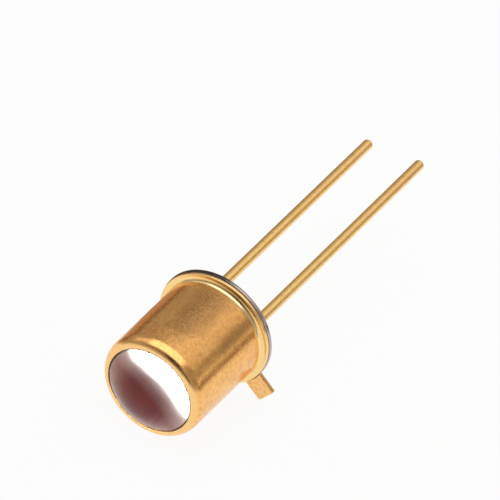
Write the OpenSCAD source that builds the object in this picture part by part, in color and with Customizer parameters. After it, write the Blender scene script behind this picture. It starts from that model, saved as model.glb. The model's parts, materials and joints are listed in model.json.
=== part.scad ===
// Infrared LED in a gold-plated metal can, lying at rest on a table.
// Each piece is drawn about the optical axis: Z runs to the lens, Z = 0 is the seating plane at the
// back of the header and the index tab points along X. at_rest() then lays the whole part down,
// with the lens to the front (-Y), the leads to the back (+Y) and the seating centre at the origin.
// All sizes are in millimetres.

/* [Cap] */
// outside diameter of the barrel
can_d = 4.7; // [4.5:0.05:4.95]
// height of the rim above the seating plane
can_h = 5.15; // [4.6:0.05:6]
// thickness of the cap sheet
cap_sheet = 0.16; // [0.13:0.01:0.2]
// outside radius of the turned-in rim
rim_r = 0.37; // [0.25:0.01:0.5]
// inside radius of the bend between barrel and flange
foot_r = 0.13; // [0.08:0.01:0.15]
// how far the cap flange stays behind the edge of the header flange
weld_setback = 0.03; // [0.02:0.01:0.05]
// rounding of the flange edges
edge_r = 0.04; // [0.02:0.01:0.045]

/* [Lens] */
// height of the dome above the rim
dome_h = 0.75; // [0.3:0.05:1]
// gap and step between the dome and the inner edge of the rim
lens_gap = 0.03; // [0.02:0.01:0.06]
// height of barrel that the glass is fused to
lens_band_h = 1; // [0.6:0.05:1.6]
// height of the bulge of the glass towards the chip
lens_bulge_h = 0.35; // [0.2:0.05:0.6]

/* [Header] */
// how far the flange stands out from the barrel
flange_reach = 0.31; // [0.3:0.01:0.5]
// thickness of the header sheet
header_sheet = 0.18; // [0.16:0.01:0.24]
// gap between the platform and the inside of the barrel
platform_gap = 0.18; // [0.12:0.01:0.24]
// height of the platform above the seating plane
platform_h = 1.1; // [0.9:0.05:1.4]
// outside radius of the platform edge
shoulder_r = 0.3; // [0.26:0.01:0.34]
// inside radius of the bend between flange and platform
heel_r = 0.1; // [0.06:0.01:0.14]
// width of the index tab
tab_w = 0.96; // [0.7:0.01:1.2]
// length of the index tab beyond the flange
tab_l = 0.93; // [0.7:0.01:1.2]
// rounding of the tab corners
tab_r = 0.08; // [0.04:0.01:0.2]

/* [Glass seal] */
// hole for the insulated lead in the platform
seal_d = 0.9; // [0.75:0.05:0.95]
// depth of the glass behind the seating plane and below the platform top
glass_recess = 0.1; // [0.06:0.01:0.14]
// height of the glass drawn up round each lead
meniscus_r = 0.08; // [0.04:0.01:0.1]

/* [Leads] */
// diameter of the leads over their plating
lead_d = 0.45; // [0.4:0.01:0.5]
// thickness of the plating on the leads
plating_t = 0.005; // [0.003:0.001:0.01]
// bare length of each lead between the glass and its plating
bare_l = 0.06; // [0.05:0.01:0.2]
// diameter of the circle that the leads stand on
lead_circle = 2.54; // [2.4:0.01:2.6]
// length of the leads beyond the seating plane
lead_l = 13.9; // [10:0.1:16]
// angle from the tab to the lead beside it
lead_angle = 45; // [30:1:60]
// rounding of the lead tips
lead_tip_r = 0.12; // [0.05:0.01:0.18]
// height of the insulated lead above the platform
post_h = 0.45; // [0.35:0.05:0.7]
// diameter of the flattened head on the insulated lead
post_head_d = 0.8; // [0.6:0.01:0.85]
// thickness of the flattened head
post_head_t = 0.12; // [0.08:0.01:0.16]

/* [Emitter] */
// width of the square chip
die_w = 0.4; // [0.25:0.01:0.5]
// height of the chip
die_h = 0.2; // [0.12:0.01:0.3]
// thickness of the layer under the chip
attach_t = 0.03; // [0.02:0.005:0.05]
// how far that layer spreads beyond the chip
attach_margin = 0.05; // [0.03:0.01:0.1]
// diameter of the contact on the chip
pad_d = 0.18; // [0.15:0.01:0.22]
// thickness of the contact on the chip
pad_t = 0.02; // [0.015:0.005:0.03]
// diameter of the bond wire
wire_d = 0.05; // [0.04:0.005:0.06]
// diameter of the ball at the chip end of the wire
ball_d = 0.13; // [0.1:0.01:0.15]
// height of the ball
ball_h = 0.06; // [0.05:0.01:0.08]
// height of the wire loop above the line between its ends
loop_h = 0.38; // [0.3:0.01:0.5]

/* [Hidden] */
$fn = 96;
gold = [0.83, 0.62, 0.30];
seal_grey = [0.30, 0.36, 0.35];
lens_red = [0.41, 0.18, 0.14];

// radii and levels of the can, from the axis outward and from the back to the front
can_r = can_d / 2;
barrel_in_r = can_r - cap_sheet;
aperture_r = can_r - rim_r;
rim_z = can_h - rim_r;
flange_r = can_r + flange_reach;
cap_flange_r = flange_r - weld_setback;
cap_flange_z = header_sheet + cap_sheet;
tab_tip_r = flange_r + tab_l;

// the lens: neck in the rim, dome in front of it, body behind it
neck_z = can_h - lens_gap;
dome_base_r = aperture_r - lens_gap;
dome_r = sphere_radius(dome_base_r, dome_h + lens_gap);
lens_back_z = rim_z - lens_band_h;
bulge_r = sphere_radius(barrel_in_r, lens_bulge_h);

// the header: platform outside, hollow inside
platform_r = barrel_in_r - platform_gap;
hollow_r = platform_r - header_sheet;
hollow_z = platform_h - header_sheet;
heel_x = platform_r + heel_r;
heel_z = header_sheet + heel_r;
lead_r = lead_d / 2;
core_r = lead_r - plating_t;
plated_z = glass_recess - meniscus_r - bare_l;
lead_x = lead_circle / 2;
lead_out_r = lead_r - lead_tip_r;
post_z = platform_h + post_h;

// the stack on the platform
die_z = platform_h + attach_t;
pad_z = die_z + die_h;
ball_z = pad_z + pad_t;
wire_r = wire_d / 2;

// the wire loop is one arc, from the middle of the ball to the middle of the head
loop_chord = [lead_x, post_z - ball_z - ball_h / 2];
loop_slope = atan2(loop_chord.y, loop_chord.x);
loop_r = sphere_radius(norm(loop_chord) / 2, loop_h);
loop_half = asin(norm(loop_chord) / 2 / loop_r);
loop_over = asin(wire_d / loop_r);
loop_centre = [0, ball_z + ball_h / 2] + loop_chord / 2
            + (loop_r - loop_h) * [sin(loop_slope), -cos(loop_slope)];

// at rest the part lies on three places: the flange edge, the front rim and a corner of the tab
edge_x = flange_r - edge_r;
edge_z = header_sheet - edge_r;
lean = atan2(edge_x - aperture_r, rim_z - edge_z);
nose_drop = lean - asin((rim_r - edge_r) / norm([edge_x - aperture_r, rim_z - edge_z]));
floor_at_edge = edge_x * cos(nose_drop) + edge_z * sin(nose_drop) + edge_r;
floor_at_tab = (floor_at_edge - header_sheet * sin(nose_drop)) / cos(nose_drop);
tab_corner = [tab_tip_r - tab_r, tab_w / 2 - tab_r];
tab_from_down = acos((floor_at_tab - tab_r) / norm(tab_corner)) + atan2(tab_corner.y, tab_corner.x);

// radius of the sphere whose cap has this base radius and height
function sphere_radius(base_r, height) = (base_r * base_r + height * height) / (2 * height);

// lays a piece drawn about the optical axis down on the table
module at_rest() {
    rotate([90 + nose_drop, 0, 0])
        rotate([0, 0, tab_from_down - 90])
            children();
}

// turns a piece to the lead beside the tab
module at_cathode() {
    rotate([0, 0, lead_angle])
        translate([lead_x, 0, 0])
            children();
}

// turns a piece to the insulated lead, opposite the first
module at_anode() {
    rotate([0, 0, lead_angle + 180])
        translate([lead_x, 0, 0])
            children();
}

// quarter of a bent sheet in the profile plane, with the quarter named by the signs of x and y
module bend(centre, outer, inner, sx, sy) {
    translate(centre)
        intersection() {
            difference() {
                circle(outer);
                circle(inner);
            }
            translate([sx > 0 ? 0 : -outer, sy > 0 ? 0 : -outer])
                square(outer);
        }
}

// flat ring of sheet in the profile plane, with its outer edge rounded
module rim_sheet(from_x, to_x, low, high) {
    translate([from_x, low])
        square([to_x - edge_r - from_x, high - low]);
    translate([to_x - edge_r, low + edge_r])
        square([edge_r, high - low - 2 * edge_r]);
    for (y = [low + edge_r, high - edge_r])
        translate([to_x - edge_r, y])
            circle(edge_r);
}

// profile of the eyelet: flange, heel bend, platform wall, shoulder and platform top
module eyelet_profile() {
    rim_sheet(heel_x, flange_r, 0, header_sheet);
    bend([heel_x, heel_z], heel_r + header_sheet, heel_r, -1, -1);
    translate([hollow_r, heel_z])
        square([header_sheet, platform_h - shoulder_r - heel_z]);
    bend([platform_r - shoulder_r, platform_h - shoulder_r], shoulder_r, shoulder_r - header_sheet, 1, 1);
    translate([0, hollow_z])
        square([platform_r - shoulder_r, header_sheet]);
}

// outline of the index tab, from the flange to its two rounded corners
module tab_outline() {
    translate([heel_x, -tab_w / 2])
        square([tab_corner.x - heel_x, tab_w]);
    translate([tab_corner.x, -tab_corner.y])
        square([tab_r, 2 * tab_corner.y]);
    for (side = [-1, 1])
        translate([tab_corner.x, side * tab_corner.y])
            circle(tab_r);
}

// stamped header with its flange, index tab and platform
module header_eyelet() {
    color(gold)
        at_rest()
            difference() {
                union() {
                    rotate_extrude()
                        eyelet_profile();
                    linear_extrude(header_sheet)
                        tab_outline();
                }
                at_anode()
                    translate([0, 0, hollow_z - header_sheet])
                        cylinder(h = 3 * header_sheet, d = seal_d);
            }
}

// profile of the glass that fills the hollow of the eyelet
module glass_profile() {
    translate([0, glass_recess])
        square([hollow_r, platform_h - shoulder_r - glass_recess]);
    translate([0, glass_recess])
        square([platform_r - shoulder_r, hollow_z - glass_recess]);
    bend([platform_r - shoulder_r, platform_h - shoulder_r], shoulder_r - header_sheet, 0, 1, 1);
    difference() {
        translate([hollow_r, glass_recess])
            square([heel_x - hollow_r, heel_z - glass_recess]);
        translate([heel_x, heel_z])
            circle(heel_r + header_sheet);
    }
}

// glass drawn up round a lead at the back of the header
module meniscus() {
    translate([0, 0, glass_recess])
        rotate_extrude()
            difference() {
                translate([0, -meniscus_r])
                    square([lead_r + meniscus_r, meniscus_r]);
                translate([lead_r + meniscus_r, -meniscus_r])
                    circle(meniscus_r);
            }
}

// glass seal with its plug round the insulated lead and bores for both leads
module header_glass() {
    color(seal_grey)
        at_rest()
            difference() {
                union() {
                    rotate_extrude()
                        glass_profile();
                    at_anode()
                        translate([0, 0, hollow_z])
                            cylinder(h = header_sheet - glass_recess, d = seal_d);
                    at_anode()
                        meniscus();
                    at_cathode()
                        meniscus();
                }
                at_anode()
                    lead_bore(platform_h);
                at_cathode()
                    lead_bore(hollow_z);
            }
}

// bore in the glass for the core of a lead
module lead_bore(top) {
    translate([0, 0, -glass_recess])
        cylinder(h = top + glass_recess, r = core_r);
}

// profile of a lead: plated length with a rounded tip, and the bare core from there into the glass
module lead_profile(top) {
    translate([0, -lead_l + lead_tip_r])
        square([lead_r, lead_l - lead_tip_r + plated_z]);
    translate([0, -lead_l])
        square([lead_out_r, lead_tip_r]);
    bend([lead_out_r, -lead_l + lead_tip_r], lead_tip_r, 0, 1, -1);
    translate([0, plated_z])
        square([core_r, top - plated_z]);
}

// lead beside the tab, welded to the underside of the platform
module cathode_lead() {
    color(gold)
        at_rest()
            at_cathode()
                rotate_extrude()
                    lead_profile(hollow_z);
}

// insulated lead with its flattened head
module anode_lead() {
    color(gold)
        at_rest()
            at_anode()
                rotate_extrude() {
                    lead_profile(post_z - post_head_t);
                    translate([0, post_z - post_head_t])
                        square([post_head_d / 2, post_head_t]);
                }
}

// profile of the cap: flange, foot bend, barrel and turned-in rim
module cap_profile() {
    rim_sheet(can_r + foot_r, cap_flange_r, header_sheet, cap_flange_z);
    bend([can_r + foot_r, cap_flange_z + foot_r], foot_r + cap_sheet, foot_r, -1, -1);
    translate([barrel_in_r, cap_flange_z + foot_r])
        square([cap_sheet, rim_z - cap_flange_z - foot_r]);
    bend([aperture_r, rim_z], rim_r, rim_r - cap_sheet, 1, 1);
}

// drawn cap
module lens_cap() {
    color(gold)
        at_rest()
            rotate_extrude()
                cap_profile();
}

// profile of the lens: bulge, fused band, shoulder under the rim, neck and dome
module lens_profile() {
    intersection() {
        translate([0, lens_back_z - lens_bulge_h + bulge_r])
            circle(bulge_r, $fn = 360);
        translate([0, lens_back_z - lens_bulge_h])
            square([bulge_r, lens_bulge_h]);
    }
    translate([0, lens_back_z])
        square([barrel_in_r, lens_band_h]);
    translate([0, rim_z])
        square([aperture_r, neck_z - rim_z]);
    bend([aperture_r, rim_z], rim_r - cap_sheet, 0, 1, 1);
    intersection() {
        translate([0, can_h + dome_h - dome_r])
            circle(dome_r, $fn = 360);
        translate([0, neck_z])
            square([aperture_r, dome_h + lens_gap]);
    }
}

// glass lens fused into the rim of the cap
module lens() {
    color(lens_red, 0.8)
        at_rest()
            rotate_extrude()
                lens_profile();
}

// emitter chip
module led_die() {
    color([0.22, 0.20, 0.24])
        at_rest()
            translate([-die_w / 2, -die_w / 2, die_z])
                cube([die_w, die_w, die_h]);
}

// conducting layer under the chip
module die_attach() {
    attach_w = die_w + 2 * attach_margin;
    color([0.70, 0.70, 0.72])
        at_rest()
            translate([-attach_w / 2, -attach_w / 2, platform_h])
                cube([attach_w, attach_w, attach_t]);
}

// metal contact on top of the chip
module bond_pad() {
    color(gold)
        at_rest()
            translate([0, 0, pad_z])
                cylinder(h = pad_t, d = pad_d);
}

// bond wire: squashed ball on the chip and one round loop, cut flat on the head of the lead
module bond_wire() {
    color(gold)
        at_rest()
            rotate([0, 0, lead_angle + 180])
                difference() {
                    union() {
                        translate([0, 0, ball_z])
                            rotate_extrude() {
                                square([ball_d / 2 - ball_h / 2, ball_h]);
                                bend([ball_d / 2 - ball_h / 2, ball_h / 2], ball_h / 2, 0, 1, 1);
                                bend([ball_d / 2 - ball_h / 2, ball_h / 2], ball_h / 2, 0, 1, -1);
                            }
                        translate([loop_centre.x, 0, loop_centre.y])
                            rotate([90, 0, 0])
                                rotate([0, 0, 90 + loop_slope - loop_half - loop_over])
                                    rotate_extrude(angle = 2 * loop_half + loop_over)
                                        translate([loop_r, 0])
                                            circle(wire_r);
                    }
                    translate([lead_x - post_head_d / 2, -post_head_d / 2, post_z - post_head_t])
                        cube([post_head_d, post_head_d, post_head_t]);
                }
}

header_eyelet();
header_glass();
cathode_lead();
anode_lead();
lens_cap();
lens();
led_die();
die_attach();
bond_pad();
bond_wire();
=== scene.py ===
# %% [markdown]
# # Infrared LED in a gold-plated can
#
# The object is a small emitter in a metal can: a stamped header with an index tab, a drawn cap welded
# onto it, a glass lens fused into the front of the cap, and two wire leads sealed into the back with
# glass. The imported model, loaded as a fixed frame, gives every piece its size and place. This lesson adds
# finer meshes, finishes, light and a camera.

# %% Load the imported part
import json
from math import acos, asin, atan2, ceil, cos, degrees, hypot, pi, radians, sin, sqrt, tan

import bmesh
import bpy
from mathutils import Matrix, Vector


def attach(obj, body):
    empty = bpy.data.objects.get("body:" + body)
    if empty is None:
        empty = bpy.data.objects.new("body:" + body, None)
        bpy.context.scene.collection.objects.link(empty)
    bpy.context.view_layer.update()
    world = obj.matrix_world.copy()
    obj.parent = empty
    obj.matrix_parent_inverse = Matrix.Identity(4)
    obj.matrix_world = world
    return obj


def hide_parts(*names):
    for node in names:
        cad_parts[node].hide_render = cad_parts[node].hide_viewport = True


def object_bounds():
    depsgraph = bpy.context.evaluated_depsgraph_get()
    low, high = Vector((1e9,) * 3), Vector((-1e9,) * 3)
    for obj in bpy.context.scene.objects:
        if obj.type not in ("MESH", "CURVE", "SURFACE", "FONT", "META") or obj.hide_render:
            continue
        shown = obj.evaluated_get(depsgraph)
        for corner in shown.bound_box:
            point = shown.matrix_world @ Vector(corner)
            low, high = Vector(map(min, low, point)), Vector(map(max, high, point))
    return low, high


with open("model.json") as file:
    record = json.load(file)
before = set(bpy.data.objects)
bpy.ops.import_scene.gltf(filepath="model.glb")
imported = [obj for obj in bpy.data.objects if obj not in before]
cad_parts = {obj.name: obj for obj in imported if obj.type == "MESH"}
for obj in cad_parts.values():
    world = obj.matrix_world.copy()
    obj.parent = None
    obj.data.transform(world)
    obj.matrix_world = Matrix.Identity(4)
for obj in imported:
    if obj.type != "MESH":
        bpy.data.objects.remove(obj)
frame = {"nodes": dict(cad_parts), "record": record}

cad_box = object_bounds()
MM = 0.001
print("nodes:", ", ".join(sorted(frame["nodes"])))
print("box of the packed part in mm:", [round(s / MM, 3) for s in cad_box[1] - cad_box[0]])

# %% [markdown]
# ## How the can lies
#
# A round can with a wider flange rests on three places: the front rim, the edge of the flange and one
# corner of the tab. Two angles follow from the sizes: how far the nose drops, and how far the can has
# rolled when the tab corner meets the table. Every turned piece is drawn standing on the seating plane,
# with Z along the optical axis, and one matrix lays its mesh down, so each profile stays a plain drawing.
# The finishes use the same matrix the other way round, for a coordinate that runs along the can. The
# sizes are in millimetres.

# %% Sizes of the can and its rest pose
mounts = {m["name"]: m for m in frame["record"]["mounts"]}
can_r = mounts["barrel"]["dims"]["r_mm"]
can_h, rim_r, edge_r, header_sheet = 5.15, 0.37, 0.04, 0.18
flange_past_can, tab_past_can, tab_w, tab_r = 0.31, 1.24, 0.96, 0.08
flange_r, tab_tip_r = can_r + flange_past_can, can_r + tab_past_can
rim_z, aperture_r = can_h - rim_r, can_r - rim_r

edge_x, edge_z = flange_r - edge_r, header_sheet - edge_r
span = hypot(edge_x - aperture_r, rim_z - edge_z)
nose_drop = atan2(edge_x - aperture_r, rim_z - edge_z) - asin((rim_r - edge_r) / span)
floor_at_edge = edge_x * cos(nose_drop) + edge_z * sin(nose_drop) + edge_r
floor_at_tab = (floor_at_edge - header_sheet * sin(nose_drop)) / cos(nose_drop)
corner_x, corner_y = tab_tip_r - tab_r, tab_w / 2 - tab_r
tab_from_down = acos((floor_at_tab - tab_r) / hypot(corner_x, corner_y)) + atan2(corner_y, corner_x)

laid_down = Matrix.Rotation(pi / 2 + nose_drop, 4, "X")
at_rest = laid_down @ Matrix.Rotation(tab_from_down - pi / 2, 4, "Z")
off_axis = (at_rest @ Vector((0, 0, -1))).angle(Vector(mounts["leads"]["axis"]))
print("the nose drops %.2f degrees" % degrees(nose_drop))
print("the tab lies %.2f degrees from straight down" % degrees(tab_from_down))
print("the turned axis is %.5f degrees off the packed lead axis" % degrees(off_axis))

# %% [markdown]
# ## Camera
#
# The picture was taken from a good way off, looking down at about 37 degrees and turned a little about
# the line of sight. A long lens far away gives the same flat perspective. The camera is built from three
# perpendicular directions instead of Euler angles, because the roll about the line of sight is then one
# plain rotation.

# %% Camera at the photograph's angle
def towards(azimuth_deg, elevation_deg, far):
    """A place seen from the can in this direction: azimuth 0 is in front of the lens, 90 to the right."""
    a, e = radians(azimuth_deg), radians(elevation_deg)
    return Vector((sin(a) * cos(e), -cos(a) * cos(e), sin(e))) * far

def new_object(name, data):
    """Puts a new object into the scene."""
    made = bpy.data.objects.new(name, data)
    bpy.context.scene.collection.objects.link(made)
    return made

aim = Vector((-0.1227, 2.1238, 2.5802)) * MM
azimuth, elevation, roll = 26.739, 37.108, radians(8.955)
distance, focal_length, sensor_width = 327.92 * MM, 576, 36
nearest, farthest = 0.01, 20

back = towards(azimuth, elevation, 1)
flat_right = Vector((cos(radians(azimuth)), sin(radians(azimuth)), 0))
right = flat_right * cos(roll) + back.cross(flat_right) * sin(roll)
facing_can = Matrix((right, back.cross(right), back)).transposed().to_4x4()
camera_data = bpy.data.cameras.new("camera")
camera_data.lens, camera_data.sensor_width = focal_length, sensor_width
camera_data.clip_start, camera_data.clip_end = nearest, farthest
camera = new_object("camera", camera_data)
camera.matrix_world = Matrix.Translation(aim + back * distance) @ facing_can
bpy.context.scene.camera = camera
print("camera at", [round(c / MM, 1) for c in camera.location], "mm")

# %% [markdown]
# ## Node helpers
#
# Materials in Blender are small graphs. Three short helpers keep them readable: one sets a socket or
# links it, one adds a node and fills in its inputs, and one does sums. The links could be written out
# one by one, but then the values and the links of a node end up far apart.

# %% Helpers for node graphs
grid_step = 220

def feed(tree, value, socket):
    """Sets a socket to a plain value, or links it if the value is another node's socket."""
    if isinstance(value, bpy.types.NodeSocket):
        tree.links.new(value, socket)
    elif socket.type == "RGBA":
        socket.default_value = (*value, 1)
    else:
        socket.default_value = value

def add_node(tree, kind, place, **values):
    """Adds a node at a grid place. A value goes to a setting of that name, or else to the input."""
    made = tree.nodes.new(kind)
    made.location = (place[0] * grid_step, place[1] * grid_step)
    for key, value in values.items():
        if hasattr(made, key):
            setattr(made, key, value)
        else:
            feed(tree, value, made.inputs[key.replace("_", " ")])
    return made

def calc(tree, place, operation, *values):
    """Works with numbers and sockets in a Math node. Returns its output."""
    made = add_node(tree, "ShaderNodeMath", place, operation=operation)
    for value, socket in zip(values, made.inputs):
        feed(tree, value, socket)
    return made.outputs[0]

print("nodes stand", grid_step, "units apart")

# %% [markdown]
# ## Paper floor
#
# The can lies on white paper. A plain white diffuse floor would turn grey where less light falls. So the
# paper is a diffuse surface mixed with white for rays that see it directly or in metal and glass. It
# stays white then, and keeps a faint shadow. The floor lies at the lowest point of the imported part.

# %% White paper
def bare_material(name):
    """A material with an empty node tree."""
    material = bpy.data.materials.new(name)
    material.use_nodes = True
    material.node_tree.nodes.clear()
    return material, material.node_tree

pure_white, paper_white, white_share = (1, 1, 1), (0.85, 0.85, 0.85), 0.93
white_paper, tree = bare_material("white_paper")
rays = add_node(tree, "ShaderNodeLightPath", (-4, 0)).outputs
seen = calc(tree, (-3, 0), "MAXIMUM", rays["Is Camera Ray"], rays["Is Glossy Ray"])
seen = calc(tree, (-2, 0), "MAXIMUM", seen, rays["Is Transmission Ray"])
share = calc(tree, (-1, 0), "MULTIPLY", seen, white_share)
lit = add_node(tree, "ShaderNodeBsdfDiffuse", (-1, 1), Color=paper_white)
white = add_node(tree, "ShaderNodeEmission", (-1, -1), Color=pure_white, Strength=1.0)
both = add_node(tree, "ShaderNodeMixShader", (0, 0))
for source, socket in zip((share, lit.outputs[0], white.outputs[0]), both.inputs):
    tree.links.new(source, socket)
add_node(tree, "ShaderNodeOutputMaterial", (1, 0), Surface=both.outputs[0])
print("the paper has", len(tree.nodes), "nodes")

# %% Paper floor
def stage_sheet(name, points, faces, material):
    """A mesh for the scene round the object, not attached to any of its bodies."""
    mesh = bpy.data.meshes.new(name)
    mesh.from_pydata(points, [], faces)
    mesh.materials.append(material)
    sheet = new_object(name, mesh)
    return sheet

def flat_sheet(name, width, height, level, material):
    """A rectangle of the stage, level and centred on the origin."""
    w, h = width / 2, height / 2
    corners = [(-w, -h, level), (w, -h, level), (w, h, level), (-w, h, level)]
    return stage_sheet(name, corners, [(0, 1, 2, 3)], material)

floor_z, floor_size = cad_box[0].z, 6.0
flat_sheet("paper_floor", floor_size, floor_size, floor_z, white_paper)
print("floor at %.3f mm" % (floor_z / MM))

# %% [markdown]
# ## Light
#
# A metal can is a mirror, so it shows the room more than its own colour: the paper gives the pale lower
# side, a dim warm room the brown upper side, and softboxes the bright bands. The room is a plain world
# colour, because a picture of a room would put its own shapes into the metal.

# %% Dim room
room_colour = (0.40, 0.36, 0.325)
world = bpy.data.worlds.new("dim_room")
world.use_nodes = True
room = world.node_tree.nodes["Background"]
feed(world.node_tree, room_colour, room.inputs["Color"])
room.inputs["Strength"].default_value = 1.0
bpy.context.scene.world = world
bpy.context.scene.view_settings.view_transform = "Standard"
print("room colour", room_colour)

# %% [markdown]
# Five softboxes stand round the can: above, behind, in front, a strip low at the right and a small one
# at the left. Each shows in the metal as a bright band. They are area lamps. Blender asks for their
# power in watts, but what counts on metal is how bright the panel looks, so the helper takes that
# brightness and works out the watts from the size.

# %% Softboxes
TINY = 1e-6

def placed(centre, facing):
    """A matrix that puts a panel at a place with its width level, facing along a direction."""
    away = -Vector(facing).normalized()
    level = Vector((0, 0, 1)).cross(away)
    level = level.normalized() if level.length > TINY else Vector((1, 0, 0))
    turn = Matrix((level, away.cross(level), away)).transposed().to_4x4()
    return Matrix.Translation(Vector(centre)) @ turn

def panel_lamp(name, centre, facing, width, height, brightness):
    """A flat lamp that lights and shows in metal and glass, but not to the camera."""
    lamp = bpy.data.lights.new(name, "AREA")
    lamp.shape, lamp.size, lamp.size_y = "RECTANGLE", width, height
    lamp.energy = brightness * pi * width * height
    made = new_object(name, lamp)
    made.matrix_world = placed(centre, facing)
    made.visible_camera = False
    print(name, "%.3f W" % lamp.energy)

lamp_far = 0.35
top_place = Vector((0, 0.067, lamp_far))
front_place = Vector((-0.41, -0.40, 0.065))
back_place = towards(158.8, 39.4, lamp_far)
strip_place = towards(128, 6, lamp_far)
left_place = towards(-104, 36, lamp_far)
panel_lamp("top_softbox", top_place, (0, 0, -1), width=0.52, height=0.32, brightness=1.4)
panel_lamp("back_softbox", back_place, -back_place, width=0.347, height=0.162, brightness=0.36)
panel_lamp("front_softbox", front_place, -front_place, width=0.56, height=0.13, brightness=0.45)
panel_lamp("side_strip", strip_place, -strip_place, width=0.20, height=0.040, brightness=0.55)
panel_lamp("left_softbox", left_place, -left_place, width=0.12, height=0.17, brightness=0.50)

# %% [markdown]
# Cards just out of the picture draw dark lines along shiny metal. Six are used: a dark one round the
# camera and one low at the right, for the brown lines in the front corner and on the flange, a tan one
# high at the left, which carries the front line on, another flat on the paper to the left, which calms
# the left edges and stands for the can's shadow on the paper there, a painted shadow seen only in the
# metal, and two low ones behind the barrel, for its brown streaks. A painted world could do the same, but
# a card has a plain place and size. They are hidden from the camera, so that they never stand in a view
# from another side.

# %% Cards
def card_material(name, colour):
    """Matt card of one colour."""
    material, tree = bare_material(name)
    matt = add_node(tree, "ShaderNodeBsdfDiffuse", (0, 0), Color=colour)
    add_node(tree, "ShaderNodeOutputMaterial", (1, 0), Surface=matt.outputs[0])
    return material

def card(name, material, centre, facing, width, height):
    """A card that only shows in reflections."""
    made = flat_sheet(name, width, height, 0, material)
    made.matrix_world = placed(centre, facing)
    made.visible_camera = made.visible_shadow = made.visible_diffuse = False
    print(name, "%.0f x %.0f mm" % (width / MM, height / MM))

def hung_card(name, material, azimuth_deg, elevation_deg, width, height):
    """A card that hangs in this direction and faces the can."""
    centre = towards(azimuth_deg, elevation_deg, card_far)
    card(name, material, centre, -centre, width, height)

def stood_card(name, material, azimuth_deg, far, width, height):
    """A low card that stands on the paper and faces the can."""
    centre = towards(azimuth_deg, 0, far) + Vector((0, 0, floor_z + height / 2))
    card(name, material, centre, -towards(azimuth_deg, 0, 1), width, height)

card_far, card_lift = 0.45, 0.00005
dark_card = card_material("dark_card", (0.10, 0.062, 0.04))
tan_card = card_material("tan_card", (0.60, 0.39, 0.24))
brown_card = card_material("brown_card", (0.40, 0.28, 0.20))
rust_card = card_material("rust_card", (0.30, 0.17, 0.08))
left_of_can = (-0.047, 0.0465, floor_z + card_lift)
hung_card("card_round_camera", dark_card, 20, 38, width=0.30, height=0.34)
# This flat card stands for the can's shadow on the paper to the left, a painted shadow seen only in the
# metal.
card("card_left", tan_card, left_of_can, (0, 0, 1), width=0.086, height=0.089)
stood_card("card_right", brown_card, 128, 0.030, width=0.034, height=0.0054)
stood_card("card_behind_left", rust_card, -132, 0.050, width=0.060, height=0.008)
hung_card("card_front_left", tan_card, -30, 42, width=0.36, height=0.14)
hung_card("card_low_right", dark_card, 45, 14, width=0.13, height=0.17)

# %% [markdown]
# ## Shared finish: satin plating
#
# The cap, the header and the leads were plated together, so they share one finish: a fine satin grain,
# small blots that follow the lines in which the metal was drawn, and soft cloudy patches where the
# plating is thicker or thinner. As a node group the pattern is built once, and each material asks for
# its own scale. The group reads Object coordinates, turned upright, so the grain is fixed to the metal
# and keeps its real size. Two helpers make the nodes that all finishes use: noise and ramps.

# %% Helpers for groups and masks
stand_up = at_rest.inverted().to_euler()

def new_group(name, ins, outs):
    """Makes a shader node group with float sockets. Returns it with the sockets on its inside."""
    group = bpy.data.node_groups.new(name, "ShaderNodeTree")
    for label, value in ins:
        socket = group.interface.new_socket(label, in_out="INPUT", socket_type="NodeSocketFloat")
        socket.default_value = value
    for label in outs:
        group.interface.new_socket(label, in_out="OUTPUT", socket_type="NodeSocketFloat")
    given = add_node(group, "NodeGroupInput", (-6, 0)).outputs
    return group, given, add_node(group, "NodeGroupOutput", (4, 0)).inputs

def hand_out(group, result, **values):
    """Links each value to the group's output of that name."""
    for label, value in values.items():
        group.links.new(value, result[label])
    print("group", group.name, "has", len(group.nodes), "nodes")

def can_place(tree, place, output="Object", kind="POINT"):
    """The surface point, or its normal, in the frame of the standing can, in metres."""
    lying = add_node(tree, "ShaderNodeTexCoord", place).outputs[output]
    standing = add_node(tree, "ShaderNodeMapping", (place[0] + 1, place[1]), vector_type=kind,
                        Rotation=stand_up, Vector=lying)
    return standing.outputs[0]

def can_place_mm(tree, place):
    """The surface point in the frame of the standing can, in millimetres."""
    metres = can_place(tree, place)
    scaled = add_node(tree, "ShaderNodeVectorMath", (place[0] + 2, place[1]), operation="SCALE",
                      Vector=metres, Scale=1 / MM)
    return scaled.outputs[0]

def noise(tree, place, point, scale, detail, roughness=0.5, **values):
    """Cloudy noise, mostly between 0.3 and 0.7."""
    cloudy = add_node(tree, "ShaderNodeTexNoise", place, Vector=point, Scale=scale, Detail=detail,
                      Roughness=roughness, **values)
    return cloudy.outputs["Fac"]

rising, falling = (0.0, 1.0), (1.0, 0.0)

def ramp(tree, place, value, limits, ends=rising, curve="LINEAR"):
    """A mask that goes from one end to the other while the value goes through its limits."""
    mapped = add_node(tree, "ShaderNodeMapRange", place, interpolation_type=curve, Value=value,
                      From_Min=limits[0], From_Max=limits[1], To_Min=ends[0], To_Max=ends[1])
    return mapped.outputs[0]

print("turned upright by", [round(degrees(a), 2) for a in stand_up], "degrees")

# %% Satin plating group
plating, given, result = new_group(
    "satin_plating", [("Patch Scale", 0.7), ("Grain Scale", 14.0), ("Draw Lines", 0.3)],
    ["Patches", "Mottle", "Grain", "Height"])
draw_stretch, line_scale, blot_share, noise_middle = (1, 1, 0.02), 9.0, 0.7, 0.5
patch_limits, mottle_limits = (0.35, 0.65), (0.42, 0.72)

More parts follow.
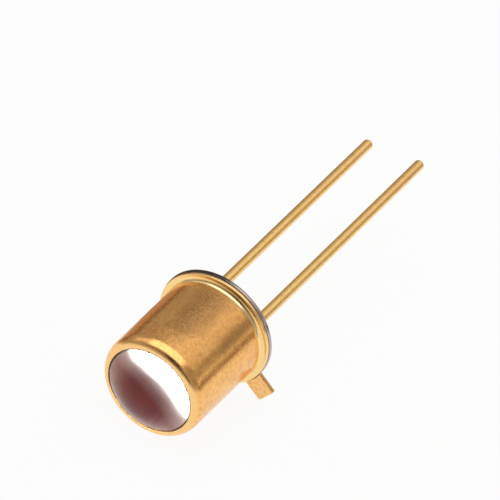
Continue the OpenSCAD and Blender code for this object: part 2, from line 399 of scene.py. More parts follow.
point = can_place_mm(plating, (-6, 2))
patches = noise(plating, (-3, 2), point, given["Patch Scale"], 3.0, 0.55)
grain = noise(plating, (-3, 1), point, given["Grain Scale"], 3.0, 0.6)
along = add_node(plating, "ShaderNodeMapping", (-4, -1), Scale=draw_stretch, Vector=point)
lines = noise(plating, (-3, -1), along.outputs[0], line_scale, 4.0, 0.7)
blot_scale = calc(plating, (-4, 3), "MULTIPLY", given["Grain Scale"], blot_share)
blots = noise(plating, (-3, 3), point, blot_scale, 2.0)
even = calc(plating, (-2, 4), "SUBTRACT", lines, noise_middle)
streaked = calc(plating, (-2, 3), "MULTIPLY_ADD", even, given["Draw Lines"], blots)
drawn = calc(plating, (-1, -1), "MULTIPLY", lines, given["Draw Lines"])
hand_out(plating, result, Grain=grain,
         Patches=ramp(plating, (-1, 2), patches, patch_limits),
         Mottle=ramp(plating, (-1, 3), streaked, mottle_limits),
         Height=calc(plating, (1, 0), "ADD", grain, drawn))

# %% [markdown]
# Each gold finish places that group with its own values. The patches choose between two gold tones, the
# blots dim them, the grain varies the gloss, and a faint bump breaks up the reflections. One flat gold
# would show the softboxes with hard edges, as a mirror does. The leads are the palest and most even, and
# the cap is the most mottled.

# %% Gold finishes
def new_material(name):
    """A new material with its node tree and the inputs of its shader."""
    material = bpy.data.materials.new(name)
    material.use_nodes = True
    return material, material.node_tree, material.node_tree.nodes["Principled BSDF"].inputs

def blend_colours(tree, place, share, first, second):
    """Mixes two colours by a share from 0 to 1. Each is a colour or a socket. Returns the output."""
    mix = add_node(tree, "ShaderNodeMix", place, data_type="RGBA")
    for value, index in ((share, 0), (first, 6), (second, 7)):
        feed(tree, value, mix.inputs[index])
    return mix.outputs[2]

def gold_finish(name, thick, thin, dim, rough, patch_scale, grain_scale, draw_lines, bump):
    """Plated metal: two gold tones by patches, dimmer blots, roughness by grain, and a fine bump."""
    material, tree, inputs = new_material(name)
    satin = add_node(tree, "ShaderNodeGroup", (-5, 0), node_tree=plating, Patch_Scale=patch_scale,
                     Grain_Scale=grain_scale, Draw_Lines=draw_lines).outputs
    cloudy = blend_colours(tree, (-3, 2), satin["Patches"], thick, thin)
    tone = blend_colours(tree, (-2, 2), satin["Mottle"], cloudy, dim)
    relief = add_node(tree, "ShaderNodeBump", (-2, -1), Strength=1.0, Distance=bump * MM,
                      Height=satin["Height"])
    inputs["Metallic"].default_value = 1.0
    tree.links.new(tone, inputs["Base Color"])
    tree.links.new(ramp(tree, (-3, 0), satin["Grain"], grain_limits, rough), inputs["Roughness"])
    tree.links.new(relief.outputs[0], inputs["Normal"])
    print(name, "has", len(tree.nodes), "nodes")
    return material

grain_limits = (0.3, 0.7)
cap_gold = gold_finish(
    "cap_gold", thick=(1.0, 0.56, 0.19), thin=(0.97, 0.51, 0.165), dim=(0.78, 0.405, 0.132),
    rough=(0.17, 0.30), patch_scale=0.7, grain_scale=8.0, draw_lines=0.3, bump=0.0022)
header_gold = gold_finish(
    "header_gold", thick=(1.0, 0.60, 0.23), thin=(0.96, 0.53, 0.19), dim=(0.76, 0.41, 0.15),
    rough=(0.18, 0.30), patch_scale=1.1, grain_scale=10.0, draw_lines=0.0, bump=0.0015)
lead_gold = gold_finish(
    "lead_gold", thick=(1.0, 0.69, 0.27), thin=(0.99, 0.65, 0.245), dim=(0.93, 0.60, 0.22),
    rough=(0.25, 0.31), patch_scale=0.9, grain_scale=7.0, draw_lines=0.4, bump=0.00015)
wire_gold = gold_finish(
    "wire_gold", thick=(0.95, 0.52, 0.18), thin=(0.92, 0.46, 0.15), dim=(0.85, 0.42, 0.13),
    rough=(0.12, 0.22), patch_scale=3.0, grain_scale=30.0, draw_lines=0.0, bump=0.0004)

# %% [markdown]
# ## Shared helper: place on the can
#
# Some marks belong to one place: the pressed weld flange, the sheared edge, a dull patch. In the frame of
# the standing can three numbers find any place: the radius, the turn about the axis, and the level above
# the seating plane. Painted masks would need a flat layout of every mesh, and these numbers need none.
# The cap, the header and the lens all use them.

# %% Place on the can group
whereabouts, _, result = new_group("place_on_can", [], ["Radius", "Turn", "Across", "Level"])
point = can_place_mm(whereabouts, (-6, 2))
flat = add_node(whereabouts, "ShaderNodeVectorMath", (-3, 3), operation="MULTIPLY", Vector=point)
flat.inputs[1].default_value = (1, 1, 0)
from_axis = add_node(whereabouts, "ShaderNodeVectorMath", (-2, 3), operation="LENGTH",
                     Vector=flat.outputs[0])
across, depth, level = add_node(whereabouts, "ShaderNodeSeparateXYZ", (-3, 1), Vector=point).outputs
turn = calc(whereabouts, (-2, 1), "ARCTAN2", depth, across)
hand_out(whereabouts, result, Radius=from_axis.outputs["Value"], Across=across, Level=level,
         Turn=calc(whereabouts, (-1, 1), "DEGREES", turn))

# %% [markdown]
# Two patches on the barrel are darker than the rest of the gold. Each is an oval mask: the distance from
# its middle, measured by turn and level in shares of its width and length. Noise is added to the
# distance, so that the border is ragged and not a drawn line.

# %% Dull patches on the barrel
def opened(material):
    """A finish's node tree, its shader's inputs, and the colour that reaches them so far."""
    tree = material.node_tree
    inputs = tree.nodes["Principled BSDF"].inputs
    return tree, inputs, inputs["Base Color"].links[0].from_socket

tree, inputs, tone = opened(cap_gold)
spot = add_node(tree, "ShaderNodeGroup", (-8, 4), node_tree=whereabouts).outputs
cloud_scale, patch_tone, patch_border = 1.4 / MM, (0.58, 0.31, 0.115), (1.0, 1.8)
cloud = noise(tree, (-5, 12), can_place(tree, (-8, 12)), cloud_scale, 4.0)
# Turn and level of the middle, width in degrees, length in millimetres, and strength.
darker_patches = ((122.0, 2.0, 20.0, 2.2, 0.95), (81.5, 1.8, 9.0, 1.4, 0.55))
for row, (turn, level, wide, long, strength) in enumerate(darker_patches):
    up = 14 + 2 * row
    sideways = calc(tree, (-6, up), "MULTIPLY_ADD", spot["Turn"], 1 / wide, -turn / wide)
    lengthways = calc(tree, (-6, up - 1), "MULTIPLY_ADD", spot["Level"], 1 / long, -level / long)
    offset = add_node(tree, "ShaderNodeCombineXYZ", (-5, up), X=sideways, Y=lengthways)
    away = add_node(tree, "ShaderNodeVectorMath", (-4, up), operation="LENGTH", Vector=offset.outputs[0])
    ragged = calc(tree, (-3, up), "ADD", away.outputs["Value"], cloud)
    darkened = ramp(tree, (-2, up), ragged, patch_border, (strength, 0.0), "SMOOTHSTEP")
    tone = blend_colours(tree, (-1, up), darkened, tone, patch_tone)
print("dull patches:", len(darker_patches))

# %% [markdown]
# The cap's flange, where the welding ring presses it, is paler and a little more matt than the barrel.
# The bend above it is painted a pale cream, a painted highlight along the foot of the barrel. The front
# rim is a little paler. All are masks that change the cap's colour or roughness, one laid over the other.
# Separate materials on separate faces would show hard borders between them.

# %% Weld flange, bend with its painted highlight, and rim of the cap
cap_sheet, foot_r = 0.16, 0.19
cap_flange_z = header_sheet + cap_sheet
rim_levels, press_radii = (can_h - 0.30, can_h - 0.04), (can_r + 0.005, can_r + 0.06)
bend_low = (cap_flange_z + 0.06, cap_flange_z + 0.10)
bend_high = (cap_flange_z + foot_r, cap_flange_z + foot_r + 0.08)
rim_gold, flange_gold, bend_highlight_tone = (1.0, 0.62, 0.25), (1.0, 0.70, 0.30), (1.0, 0.80, 0.45)
press_roughness = 0.03

paler_rim = ramp(tree, (-3, 8), spot["Level"], rim_levels, curve="SMOOTHSTEP")
pressed = ramp(tree, (-5, 4), spot["Radius"], press_radii)
above_flange = ramp(tree, (-3, 10), spot["Level"], bend_low)
below_barrel = ramp(tree, (-3, 9), spot["Level"], bend_high, falling)
bend = calc(tree, (-2, 9), "MULTIPLY", above_flange, below_barrel)
tone = blend_colours(tree, (-1, 6), paler_rim, tone, rim_gold)
tone = blend_colours(tree, (-1, 4), pressed, tone, flange_gold)
# Painted highlight: the bend at the foot is given a pale cream colour.
tone = blend_colours(tree, (-0.5, 5), bend, tone, bend_highlight_tone)
gloss = inputs["Roughness"].links[0].from_socket
matter = calc(tree, (-1, 0), "MULTIPLY_ADD", pressed, press_roughness, gloss)
tree.links.new(tone, inputs["Base Color"])
tree.links.new(matter, inputs["Roughness"])
print("cap finish has", len(tree.nodes), "nodes")

# %% [markdown]
# The edge of the header flange was sheared, so its plating is grey there. Towards one side it is painted
# dark, a painted shade with a ragged border. The mask asks for the right radius, and for a normal that
# points sideways.
# A dark line is painted there too, a painted shadow on the thin ring of the header that shows in front
# of the cap's flange. There the normal points forward.

# %% Grey edge of the header flange, with painted shade on one side
tree, inputs, tone = opened(header_gold)
spot = add_node(tree, "ShaderNodeGroup", (-8, 5), node_tree=whereabouts).outputs
edge_radii, tab_radii = (flange_r - 0.045, flange_r - 0.035), (flange_r + 0.01, flange_r + 0.03)
flat_facing = (0.9, 0.99)
mottle_scale, mottle_strength, shade_limits = 1.2 / MM, 2.5, (-0.35, 0.65)
edge_shade_dark, edge_grey = (0.085, 0.075, 0.07), (0.52, 0.44, 0.42)

outer = ramp(tree, (-5, 4), spot["Radius"], edge_radii)
inner = ramp(tree, (-5, 5), spot["Radius"], tab_radii, falling)
normal = can_place(tree, (-8, 3), "Normal", "NORMAL")
forward = add_node(tree, "ShaderNodeSeparateXYZ", (-6, 3), Vector=normal).outputs["Z"]
tilt = calc(tree, (-5.5, 3), "ABSOLUTE", forward)
sideways = ramp(tree, (-5, 3), tilt, flat_facing, falling)
ring = calc(tree, (-4, 4), "MULTIPLY", outer, inner)
sheared = calc(tree, (-3, 4), "MULTIPLY", ring, sideways)
edge_mottle = noise(tree, (-6, 2), can_place(tree, (-8, 2)), mottle_scale, 3.0)
# Painted shade: the grey edge turns dark towards one side, across the can, with a ragged border.
uneven = calc(tree, (-5, 2), "MULTIPLY_ADD", edge_mottle, mottle_strength, spot["Across"])
lit_side = ramp(tree, (-4, 2), uneven, shade_limits)
shaded = blend_colours(tree, (-3, 3), lit_side, edge_shade_dark, edge_grey)
tone = blend_colours(tree, (-1, 3), sheared, tone, shaded)
print("burnt edge from radius %.3f to %.3f mm" % (edge_radii[0], tab_radii[1]))

# %% Painted shadow beside the cap's flange
step_radii, front_facing = (flange_r - 0.07, flange_r - 0.055), (0.90, 0.97)
step_shadow_dark, step_shadow_brown = (0.02, 0.018, 0.015), (0.10, 0.07, 0.045)
# Painted shadow: the thin ring in front of the cap's flange is dark, darkest on the shaded side.
step_out = ramp(tree, (-5, 6), spot["Radius"], step_radii)
front = ramp(tree, (-5, 7), forward, front_facing)
step_ring = calc(tree, (-4, 6), "MULTIPLY", step_out, inner)
step_shadow = calc(tree, (-3, 6), "MULTIPLY", step_ring, front)
step_shadow_tone = blend_colours(tree, (-3, 5), lit_side, step_shadow_dark, step_shadow_brown)
tone = blend_colours(tree, (-0.5, 4), step_shadow, tone, step_shadow_tone)
tree.links.new(tone, inputs["Base Color"])
print("header finish has", len(tree.nodes), "nodes")

# %% [markdown]
# ## Shared finish: faint dust and smears
#
# Glass that has been handled isn't perfectly clean. This group gives a soft smear mask and tiny specks,
# which the lens and the seal use for their roughness and tint. Noise gives the smears, and the distance
# to scattered cell points gives the specks.

# %% Handled glass group
handled, given, result = new_group(
    "handled_glass", [("Smear Scale", 0.8), ("Speck Scale", 9.0)], ["Smears", "Specks"])
speck_limits = (0.02, 0.09)
point = can_place_mm(handled, (-6, 2))
smears = noise(handled, (-3, 2), point, given["Smear Scale"], 4.0, 0.6, Distortion=0.6)
cells = add_node(handled, "ShaderNodeTexVoronoi", (-3, 0), feature="F1", Vector=point,
                 Scale=given["Speck Scale"])
specks = ramp(handled, (-1, 0), cells.outputs["Distance"], speck_limits, falling)
hand_out(handled, result, Smears=smears, Specks=specks)

# %% [markdown]
# The lens is dark red glass that lets light through, and the seal at the back is a grey-green glass that
# looks solid. Both could be plain clear glass, but then the inside of the can would show too well. So the
# lens lets only half of the light through, and the seal none, with a clear coat for its gloss.

# %% Glass finishes
def glass_finish(name, clean, stained, speck, rough, smear_scale, speck_scale):
    """Glass with a tint that varies, fine specks, and smears in its gloss."""
    material, tree, inputs = new_material(name)
    marks = add_node(tree, "ShaderNodeGroup", (-5, 0), node_tree=handled, Smear_Scale=smear_scale,
                     Speck_Scale=speck_scale).outputs
    cloudy = blend_colours(tree, (-3, 1), marks["Smears"], clean, stained)
    tint = blend_colours(tree, (-2, 1), marks["Specks"], cloudy, speck)
    gloss = ramp(tree, (-3, 0), marks["Smears"], smear_limits, rough)
    tree.links.new(tint, inputs["Base Color"])
    tree.links.new(gloss, inputs["Roughness"])
    print(name, "has", len(tree.nodes), "nodes")
    return material, inputs

smear_limits = (0.4, 0.8)
lens_glass, inputs = glass_finish(
    "lens_glass", clean=(0.30, 0.022, 0.010), stained=(0.22, 0.018, 0.008), speck=(0.36, 0.06, 0.04),
    rough=(0.03, 0.08), smear_scale=0.8, speck_scale=9.0)
inputs["Transmission Weight"].default_value = 0.5
inputs["IOR"].default_value = 1.45
inputs["Specular IOR Level"].default_value = 0.35

seal_glass, inputs = glass_finish(
    "seal_glass", clean=(0.10, 0.13, 0.12), stained=(0.16, 0.19, 0.17), speck=(0.34, 0.37, 0.34),
    rough=(0.08, 0.25), smear_scale=1.2, speck_scale=12.0)
inputs["IOR"].default_value = 1.5
inputs["Coat Weight"].default_value = 0.6

# %% [markdown]
# Towards its edge the lens is thin and lies against pale metal, so it is painted paler there than in its
# dark red middle: a painted glow, for the light that the metal sends back through the thin glass. Right at
# the metal a dark line is painted, a painted shadow where glass and metal meet. True absorption would give
# the paler ring by itself, but only with a bright inside behind it, so the radius from the axis paints
# both.

# %% Painted glow and painted shadow line at the edge of the lens
tree, inputs, tone = opened(lens_glass)
glow_radii, seam_shadow_radii = (0.7, aperture_r), (aperture_r - 0.085, aperture_r - 0.05)
glow_tint, seam_shadow_tint = (0.68, 0.38, 0.31), (0.07, 0.035, 0.02)
spot = add_node(tree, "ShaderNodeGroup", (-5, 3), node_tree=whereabouts).outputs
# Painted glow: the lens turns paler towards its edge.
painted_glow = ramp(tree, (-3, 3), spot["Radius"], glow_radii, curve="SMOOTHSTEP")
# Painted shadow: a dark line right at the metal.
seam_shadow = ramp(tree, (-3, 4), spot["Radius"], seam_shadow_radii)
tone = blend_colours(tree, (-2, 3), painted_glow, tone, glow_tint)
tone = blend_colours(tree, (-1, 3), seam_shadow, tone, seam_shadow_tint)
tree.links.new(tone, inputs["Base Color"])
print("lens finish has", len(tree.nodes), "nodes")

# %% [markdown]
# ## Chip and adhesive
#
# Inside, a dark semiconductor chip sits on a layer of silver-filled adhesive. Both are under half a
# millimetre wide and only show through the lens, so a fine speckle is enough. The plating group already
# makes one, so it is used again at a finer scale.

# %% Chip and adhesive finishes
def speckled_finish(name, base, fleck, metal, rough, scale):
    """A fine-grained surface with flecks of a second colour."""
    material, tree, inputs = new_material(name)
    satin = add_node(tree, "ShaderNodeGroup", (-5, 0), node_tree=plating, Patch_Scale=scale,
                     Grain_Scale=grains_per_fleck * scale, Draw_Lines=0.0).outputs
    inputs["Metallic"].default_value = metal
    tree.links.new(blend_colours(tree, (-3, 1), satin["Patches"], base, fleck), inputs["Base Color"])
    tree.links.new(ramp(tree, (-3, 0), satin["Grain"], (0.0, 1.0), rough), inputs["Roughness"])
    print(name, "has", len(tree.nodes), "nodes")
    return material

grains_per_fleck = 4
chip_dark = speckled_finish(
    "chip_dark", base=(0.05, 0.045, 0.06), fleck=(0.09, 0.07, 0.09), metal=0.0, rough=(0.2, 0.4),
    scale=12.0)
silver_adhesive = speckled_finish(
    "silver_adhesive", base=(0.55, 0.55, 0.57), fleck=(0.80, 0.80, 0.80), metal=1.0, rough=(0.35, 0.6),
    scale=25.0)

# %% [markdown]
# ## Turning a profile
#
# The cap, the lens and the leads are all round, so each is a profile turned about its axis, as on a
# lathe. The Screw modifier could do that, but a few lines of mesh code give control over the points:
# straight runs get an extra ring close to each end, so that smooth shading doesn't bend the reflection
# along a long wall, and arcs get enough points to look round.

# %% Profile helpers
def arc(centre, radius, start_deg, end_deg, step_deg=6.0):
    """Points on an arc in the profile plane."""
    count = max(2, ceil(abs(end_deg - start_deg) / step_deg))
    angles = [radians(start_deg + (end_deg - start_deg) * i / count) for i in range(count + 1)]
    return [(centre[0] + radius * cos(a), centre[1] + radius * sin(a)) for a in angles]

def gap(p, q):
    """Distance between two points of a drawing."""
    return hypot(p[0] - q[0], p[1] - q[1])

def steadied(points, closed=False):
    """Drops repeated points and adds a point near each end of every long straight run."""
    kept = [p for i, p in enumerate(points) if i == 0 or gap(p, points[i - 1]) > TINY]
    full = []
    for i, p in enumerate(kept):
        full.append(p)
        if i + 1 == len(kept) and not closed:
            break
        q = kept[(i + 1) % len(kept)]
        run = gap(q, p)
        if run > 4 * ring_margin:
            for t in (ring_margin / run, 1 - ring_margin / run):
                full.append((p[0] + (q[0] - p[0]) * t, p[1] + (q[1] - p[1]) * t))
    return full

ring_margin = 0.012
print("a quarter turn becomes", len(arc((0, 0), 1, 0, 90)), "points")

# %% Lathe helpers
sharp_deg, weld_distance = 40.0, 1e-9

def skin(built, rings, closed=False):
    """Joins each ring of vertices to the next by faces. A ring of one vertex is a point on the axis."""
    count = max(len(ring) for ring in rings)
    pairs = list(zip(rings, rings[1:])) + ([(rings[-1], rings[0])] if closed else [])
    for low, high in pairs:
        for i in range(count):
            j = (i + 1) % count
            if len(low) == 1:
                built.faces.new((low[0], high[j], high[i]))
            elif len(high) == 1:
                built.faces.new((low[i], low[j], high[0]))
            else:
                built.faces.new((low[i], low[j], high[j], high[i]))

def turned(profile, segments=192, closed=False):
    """Turns a profile of (radius, height) points in mm about Z. Points on the axis become one vertex."""
    built = bmesh.new()
    angles = [2 * pi * i / segments for i in range(segments)]
    rings = []
    for radius, level in profile:
        ring = [(radius * cos(a) * MM, radius * sin(a) * MM, level * MM) for a in angles]
        if radius < TINY:
            ring = [(0, 0, level * MM)]
        rings.append([built.verts.new(point) for point in ring])
    skin(built, rings, closed)
    return built

def finish_mesh(name, built, matrix, material, node):
    """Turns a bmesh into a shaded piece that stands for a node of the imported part."""
    bmesh.ops.remove_doubles(built, verts=built.verts, dist=weld_distance)
    bmesh.ops.recalc_face_normals(built, faces=built.faces)
    mesh = bpy.data.meshes.new(name)
    built.to_mesh(mesh)
    built.free()
    mesh.transform(matrix)
    mesh.shade_smooth()
    mesh.set_sharp_from_angle(angle=radians(sharp_deg))
    mesh.materials.append(material)
    piece = new_object(name, mesh)
    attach(piece, "root")
    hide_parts(node)
    print(name, "has", len(mesh.polygons), "faces")
    return piece

print("edges sharper than", sharp_deg, "degrees stay sharp")

# %% [markdown]
# ## Cap
#
# The real cap is drawn from one disc of sheet: a flat weld flange, a tight bend at the foot, the barrel,
# and a front edge rolled inward to hold the glass. The profile follows the sheet all the way round,
# outside and inside, so the wall has its true thickness behind the lens too. The roll starts softly at
# the barrel and tightens towards the glass, which spreads the bright band there.

# %% Cap
barrel_in_r = can_r - cap_sheet
flange_step, lip_r = 0.03, 0.03
cap_flange_r = flange_r - flange_step
foot_x, foot_z = can_r + foot_r, cap_flange_z + foot_r
shoulder_deg, crown_end_deg, soft_r = 25, 86, 0.8
crown_r = (rim_r - soft_r * (1 - cos(radians(shoulder_deg)))) / cos(radians(shoulder_deg))
crown_z = can_h - crown_r
soft_z = crown_z + (crown_r - soft_r) * sin(radians(shoulder_deg))
edge_step, crown_step, soft_step = 15, 3, 2
cap_profile = (
    arc((foot_x, foot_z), foot_r + cap_sheet, 180, 270)
    + arc((cap_flange_r - edge_r, header_sheet + edge_r), edge_r, 270, 360, edge_step)
    + arc((cap_flange_r - edge_r, cap_flange_z - edge_r), edge_r, 0, 90, edge_step)
    + arc((foot_x, foot_z), foot_r, 270, 180)
    + arc((can_r - soft_r, soft_z), soft_r, 0, shoulder_deg, soft_step)
    + arc((aperture_r, crown_z), crown_r, shoulder_deg, crown_end_deg, crown_step)
    + arc((aperture_r + lip_r, can_h - lip_r), lip_r, 90, 180, edge_step)
    + arc((aperture_r, rim_z), rim_r - cap_sheet, 90, 0)
)
cap_build = turned(steadied(cap_profile, closed=True), closed=True)
finish_mesh("drawn_cap", cap_build, at_rest, cap_gold, "lens_cap")

# %% [markdown]
# ## Lens
#
# The lens is a gob of glass melted into the rim: a dome in front, a shallow bulge behind. Where it is
# fused to the metal its mesh runs a few thousandths of a millimetre into the cap, because light then
# meets metal straight from the glass, with no sliver of air between them.

# %% Lens
dome_h, lens_gap, lens_band_h, lens_bulge_h = 0.75, 0.03, 1.0, 0.35
fused, dome_step = 0.004, 1
neck_z, dome_base_r = can_h - lens_gap, aperture_r - lens_gap
lens_back_z = rim_z - lens_band_h

def sphere_radius(base_r, high):
    """Radius of the sphere whose cap has this base radius and height."""
    return (base_r * base_r + high * high) / (2 * high)

dome_r = sphere_radius(dome_base_r, dome_h + lens_gap)
bulge_r = sphere_radius(barrel_in_r, lens_bulge_h)
bulge_half, dome_half = degrees(asin(barrel_in_r / bulge_r)), degrees(asin(dome_base_r / dome_r))
lens_profile = (
    arc((0, lens_back_z - lens_bulge_h + bulge_r), bulge_r, -90, -90 + bulge_half, dome_step)
    + [(barrel_in_r + fused, lens_back_z)]
    + arc((aperture_r, rim_z), rim_r - cap_sheet + fused, 0, 90)
    + [(aperture_r + fused, neck_z)]
    + arc((0, can_h + dome_h - dome_r), dome_r, 90 - dome_half, 90, dome_step)
)
lens_build = turned(steadied(lens_profile))
lens = finish_mesh("domed_lens", lens_build, at_rest, lens_glass, "lens")
print("dome radius %.3f mm" % dome_r)

# %% [markdown]
# Half of the dome mirrors a bright window, far brighter than white paper. Glass mirrors only a few
# hundredths of what it faces, while gold mirrors nearly all, so a window that bright would burn out the
# metal. Light linking solves that: this light shines on the lens alone. Flat lamps would do, but a
# polished dome shows their corners. So the window is one curved sheet, a grid of points laid out by turn
# and slope as seen from a spot under the lens: below the level they lie on the table, above it on a wide
# ring. Every point carries its own brightness, so the sheet fades out softly along its edges.

# %% Layout of the window sheet
# Pairs of turn and slope in degrees, for the lower edge and the top of the bright part.
window_edge = ((-95, 2.4), (-56, 2.2), (-33, 5.0), (-21, 4.0), (-11, 2.4), (2, -2.3), (15, -6.4),
               (26, -11.2), (37, -15.6), (52, -22.5), (65, -27.0), (95, -33.5))
window_top = ((-95, 10.0), (-70, 15.0), (-60, 23.0), (-50, 31.0), (-30, 39.0), (-10, 41.5), (10, 39.5),
              (20, 35.5), (30, 29.5), (40, 19.5), (50, 7.0), (60, -6.0), (75, -22.0), (95, -29.0))
# Pairs of steps below the edge and brightness, then of turn and the share of it that is left.
edge_light = ((14, 0.0), (12, 0.5), (8, 1.7), (6, 2.4), (4, 3.9), (2, 7.0), (0, 13.0), (-2, 32.0),
              (-4, 48.0))
end_light = ((-95, 0.0), (-72, 1.0), (78, 1.0), (95, 0.0))
window_spot, window_reach, window_lift = (-2.0, -4.0), 300.0, 0.00008
edge_step_deg, edge_step_shrink, top_rows, top_fade = 1.4, 0.028, 8, 5.0

def between(table, place):
    """Reads a table of (place, value) pairs, straight between its rows."""
    for (low, first), (high, second) in zip(table, table[1:]):
        if place <= high:
            return first + (second - first) * (place - low) / (high - low)
    return table[-1][1]

def window_point(turn, slope):
    """The point at this turn and slope from the window spot: on the table, or on the ring."""
    far = window_reach
    if slope < 0:
        far = min(window_reach, -floor_z / MM / tan(radians(-slope)))
    x, y = window_spot[0] + far * sin(radians(turn)), window_spot[1] - far * cos(radians(turn))
    return (x * MM, y * MM, far * tan(radians(slope)) * MM + window_lift)

def window_column(turn):
    """Points of the sheet at one turn, from its soft lower edge to its top, each with its light."""
    edge, top = between(window_edge, turn), between(window_top, turn)
    step = edge_step_deg + edge_step_shrink * min(edge, 0)
    column = [(edge - step * steps, light) for steps, light in edge_light]
    low, full = column[-1]
    column += [(low + (top - low) * i / top_rows, full) for i in range(1, top_rows + 1)]
    column += [(top + top_fade, 0.0)]
    return [(window_point(turn, slope), light * between(end_light, turn)) for slope, light in column]

turn_reach, turn_step = 95, 2
columns = [window_column(turn) for turn in range(-turn_reach, turn_reach + 1, turn_step)]
tall = len(columns[0])
print("the window has", len(columns), "columns of", tall, "points")

# %% [markdown]
# The sheet's material adds its light to clear air, so that where the light fades nothing is left to see.
# The brightness is stored on the points, as an attribute that the material reads.

# %% Window sheet for the lens
window_light, tree = bare_material("window_light")
stored = add_node(tree, "ShaderNodeAttribute", (-2, 0), attribute_name="glow").outputs["Fac"]
shine = add_node(tree, "ShaderNodeEmission", (-1, 0), Color=pure_white, Strength=stored)
clear_air = add_node(tree, "ShaderNodeBsdfTransparent", (-1, -1))
both = add_node(tree, "ShaderNodeAddShader", (0, 0))
for source, socket in zip((shine.outputs[0], clear_air.outputs[0]), both.inputs):
    tree.links.new(source, socket)
add_node(tree, "ShaderNodeOutputMaterial", (1, 0), Surface=both.outputs[0])

points = [point for column in columns for point, light in column]
corners = [i * tall + j for i in range(len(columns) - 1) for j in range(tall - 1)]
faces = [(c, c + tall, c + tall + 1, c + 1) for c in corners]
window_sheet = stage_sheet("window_sheet", points, faces, window_light)
glow = window_sheet.data.attributes.new("glow", "FLOAT", "POINT")
glow.data.foreach_set("value", [light for column in columns for point, light in column])

lens_only = bpy.data.collections.new("lens_only")
lens_only.objects.link(lens)
window_sheet.light_linking.receiver_collection = lens_only
window_sheet.visible_camera = window_sheet.visible_shadow = False
window_sheet.visible_diffuse = window_sheet.visible_transmission = False
print("window sheet has", len(faces), "faces")

# %% [markdown]
# ## Header
#
# The header is stamped and drawn from one sheet, so flange, tab and platform are one piece. It is almost
# a turned shape, apart from the tab. The same grid of rings works if the rings near the edge follow an
# outline with the tab in it: each column of the grid starts at a point of the outline and runs in to the
# axis. The rounding of the edge is an offset along the outline's own normal, so the tab gets it too.

# %% Outline of flange and tab
root_r, flange_turn_step, corner_step = 0.05, 1.8, 10
fillet_x = sqrt((flange_r + root_r) ** 2 - (tab_w / 2 + root_r) ** 2)
fillet_y = tab_w / 2 + root_r
root_deg = degrees(atan2(fillet_y, fillet_x))

def outline_arc(centre, radius, start_deg, end_deg, step_deg, outward):
    """Points of an outline arc, each with the normal that points out of the metal."""
    points = arc(centre, radius, start_deg, end_deg, step_deg)
    return [(p, (outward * (p[0] - centre[0]) / radius, outward * (p[1] - centre[1]) / radius))
            for p in points]

outline = (
    outline_arc((0, 0), flange_r, root_deg, 360 - root_deg, flange_turn_step, 1)
    + outline_arc((fillet_x, -fillet_y), root_r, 180 - root_deg, 90, edge_step, -1)
    + outline_arc((corner_x, -corner_y), tab_r, -90, 0, corner_step, 1)
    + outline_arc((corner_x, corner_y), tab_r, 0, 90, corner_step, 1)
    + outline_arc((fillet_x, fillet_y), root_r, 270, 180 + root_deg, edge_step, -1)
)
outline = [o for i, o in enumerate(outline) if gap(o[0], outline[i - 1][0]) > TINY]
print("the outline has", len(outline), "points")

# %% [markdown]
# Three runs of rings make the header: the top from the axis out to the flange, the rounded edge round
# the outline, and the underside back in to the axis. Rings on the platform are circles, with their points
# in the directions of the outline, so every ring has the same number of points and all can be joined.

# %% Header
heel_r, shoulder_r, platform_h, platform_gap = 0.1, 0.3, 1.1, 0.18
platform_r = barrel_in_r - platform_gap
heel_x, heel_z = platform_r + heel_r, header_sheet + heel_r
hollow_z = platform_h - header_sheet
shoulder = (platform_r - shoulder_r, platform_h - shoulder_r)

top_run = steadied(
    [(0, platform_h)] + arc(shoulder, shoulder_r, 90, 0) + arc((heel_x, heel_z), heel_r, 180, 270))
under_run = steadied(
    arc((heel_x, heel_z), heel_r + header_sheet, 270, 180)
    + arc(shoulder, shoulder_r - header_sheet, 0, 90) + [(0, hollow_z)])
top_edge, low_edge = arc((0, 0), edge_r, 90, 0, edge_step), arc((0, 0), edge_r, 0, -90, edge_step)
edge_run = (
    [(edge_r + ring_margin, header_sheet)]
    + [(edge_r - x, header_sheet - edge_r + z) for x, z in top_edge]
    + [(edge_r - x, edge_r + z) for x, z in low_edge]
    + [(edge_r + ring_margin, 0)]
)

def round_ring(radius, level):
    """A circle of points in the directions of the outline, or one point on the axis."""
    if radius < TINY:
        return [(0, 0, level)]
    return [(radius * p[0] / hypot(*p), radius * p[1] / hypot(*p), level) for p, n in outline]

def edge_ring(inset, level):
    """The outline, drawn in along its normals."""
    return [(p[0] - n[0] * inset, p[1] - n[1] * inset, level) for p, n in outline]

rings = [round_ring(*p) for p in top_run] + [edge_ring(*p) for p in edge_run]
rings += [round_ring(*p) for p in under_run]
header_build = bmesh.new()
rings = [[header_build.verts.new([c * MM for c in point]) for point in ring] for ring in rings]
skin(header_build, rings[::-1])
header = finish_mesh("stamped_header", header_build, at_rest, header_gold, "header_eyelet")

# %% [markdown]
# The insulated lead passes through a hole in the platform. A Boolean modifier drills it, and the result
# is written back into the mesh, so that nothing is left to evaluate later.

# %% Hole for the insulated lead
seal_r, lead_angle, drill_sides = 0.45, radians(45), 96
lead_x = mounts["leads"]["dims"]["pcd_mm"] / 2
drill_build = bmesh.new()
bmesh.ops.create_cone(drill_build, cap_ends=True, segments=drill_sides, radius1=seal_r * MM,
                      radius2=seal_r * MM, depth=3 * header_sheet * MM)
drill_mesh = bpy.data.meshes.new("drill")
drill_build.to_mesh(drill_mesh)
drill_build.free()
drill = new_object("drill", drill_mesh)
hole = Vector((-lead_x * cos(lead_angle), -lead_x * sin(lead_angle), hollow_z + header_sheet / 2)) * MM
drill.matrix_world = at_rest @ Matrix.Translation(hole)
cut = header.modifiers.new("hole", "BOOLEAN")
cut.operation, cut.solver, cut.object = "DIFFERENCE", "EXACT", drill
bpy.context.view_layer.update()
drilled = bpy.data.meshes.new_from_object(header.evaluated_get(bpy.context.evaluated_depsgraph_get()))
header.modifiers.clear()
header.data = drilled
drilled.name = "stamped_header"
bpy.data.objects.remove(drill)
drilled.set_sharp_from_angle(angle=radians(sharp_deg))
print("after drilling the header has", len(drilled.polygons), "faces")

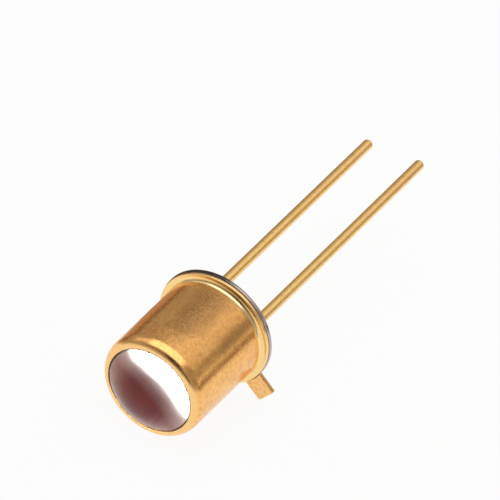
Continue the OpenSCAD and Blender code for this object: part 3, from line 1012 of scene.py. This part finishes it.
# %% [markdown]
# ## Leads
#
# Each lead is a round wire with a slightly rounded cut end. One is welded under the platform, beside the
# tab. The other runs through the glass and ends in a flattened head, where the bond wire lands. The
# plating came after the glass, so the wire is a hair thinner from the place where the glass begins. A
# bevelled curve would make a wire too, but the lathe gives its rounded end and its head at once.

# %% Leads
lead_r = mounts["leads"]["dims"]["stud_r_mm"]
lead_l, lead_tip_r, plating_t, plated_z = 13.9, 0.12, 0.005, -0.04
head_above, head_r, head_t, head_edge_r, lead_sides = 0.45, 0.4, 0.12, 0.03, 96
core_r, head_z = lead_r - plating_t, platform_h + head_above
outside = [(0, -lead_l)] + arc((lead_r - lead_tip_r, -lead_l + lead_tip_r), lead_tip_r, 270, 360)
outside += [(lead_r, plated_z), (core_r, plated_z)]
cathode_profile = outside + [(core_r, hollow_z), (0, hollow_z)]
anode_profile = (
    outside + [(core_r, head_z - head_t)]
    + arc((head_r - head_edge_r, head_z - head_t + head_edge_r), head_edge_r, 270, 360, edge_step)
    + arc((head_r - head_edge_r, head_z - head_edge_r), head_edge_r, 0, 90, edge_step)
    + [(0, head_z)]
)
off_centre = Matrix.Translation((lead_x * MM, 0, 0))
beside_tab = at_rest @ Matrix.Rotation(lead_angle, 4, "Z") @ off_centre
opposite = at_rest @ Matrix.Rotation(lead_angle + pi, 4, "Z") @ off_centre
cathode_build = turned(steadied(cathode_profile), lead_sides)
anode_build = turned(steadied(anode_profile), lead_sides)
finish_mesh("cathode_wire", cathode_build, beside_tab, lead_gold, "cathode_lead")
finish_mesh("anode_wire", anode_build, opposite, lead_gold, "anode_lead")

# %% [markdown]
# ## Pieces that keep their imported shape
#
# The seal, the chip, the adhesive, the contact and the bond wire already have the right shape, so they
# only get their finishes. The material goes on the object's slot, and the mesh stays as it is.

# %% Finishes for the seal and the inside
inside = {"header_glass": seal_glass, "led_die": chip_dark, "die_attach": silver_adhesive,
          "bond_pad": wire_gold, "bond_wire": wire_gold}
for node, material in inside.items():
    for place in frame["nodes"][node].material_slots:
        place.material = material
    print(node, "->", material.name)
